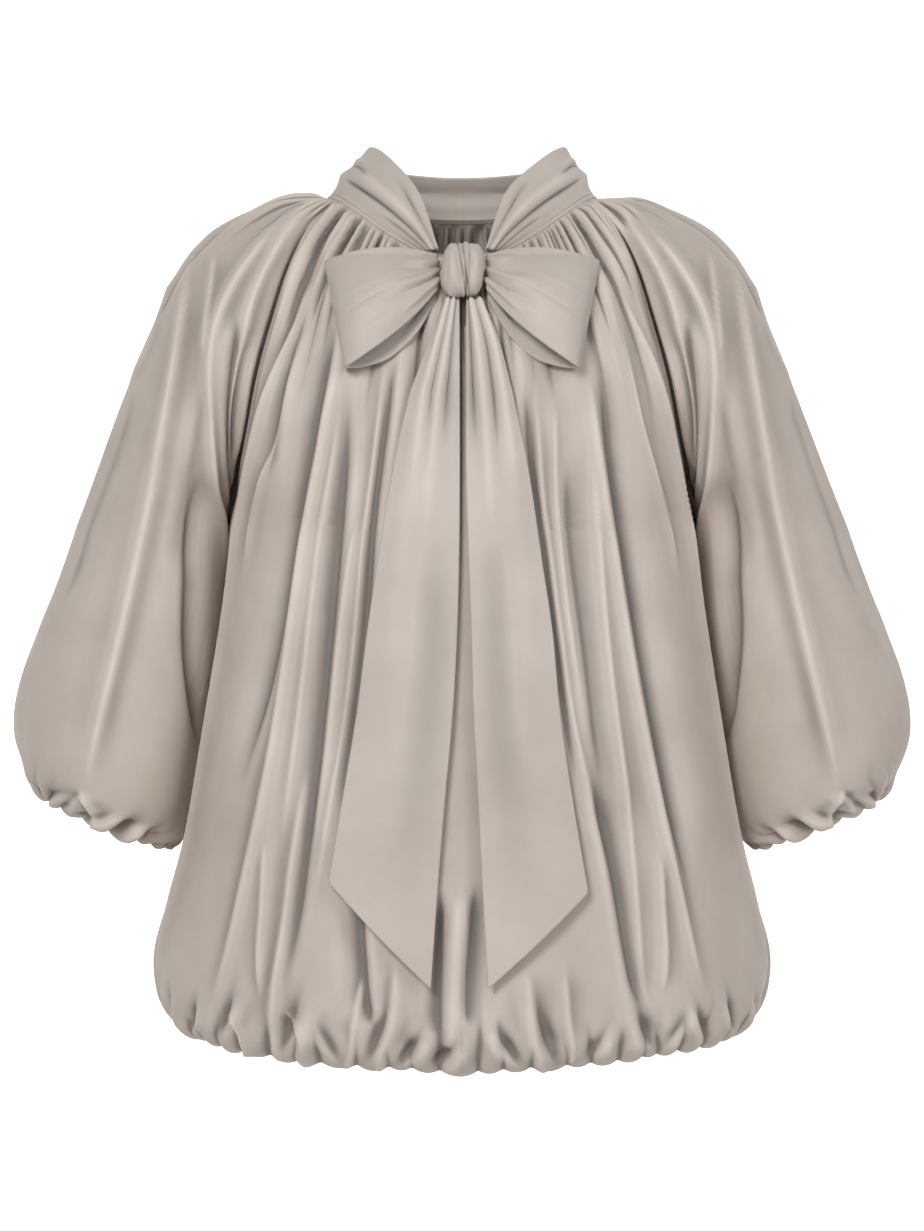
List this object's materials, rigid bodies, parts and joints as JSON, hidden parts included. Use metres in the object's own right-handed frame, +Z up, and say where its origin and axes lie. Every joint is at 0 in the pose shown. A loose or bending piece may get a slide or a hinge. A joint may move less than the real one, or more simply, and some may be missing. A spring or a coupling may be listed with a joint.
{
  "type": "blouse",
  "caption": "Hollow worn blouse with a gathered round neck, tied neckband with long tails, raglan balloon sleeves and a gathered bubble hem.",
  "frame": {"origin": "middle of the neck at shoulder height, where the wearer holds the blouse up", "axes": "+X to the right seen from the front, +Y to the back, +Z up"},
  "size_m": [0.6442, 0.3391, 0.6458],
  "materials": {
    "satin": "washed satin, soft sheen",
    "tie_satin": "washed satin, soft sheen"
  },
  "bodies": {
    "root": {"front_panel": "satin", "back_panel": "satin", "sleeve_left": "satin", "sleeve_right": "satin", "hem_band": "satin", "cuff_left": "satin", "cuff_right": "satin", "neckband": "tie_satin", "bow_knot": "tie_satin", "bow_loop_left": "tie_satin", "bow_loop_right": "tie_satin", "tie_tail_left": "tie_satin", "tie_tail_right": "tie_satin"}
  },
  "joints": []
}
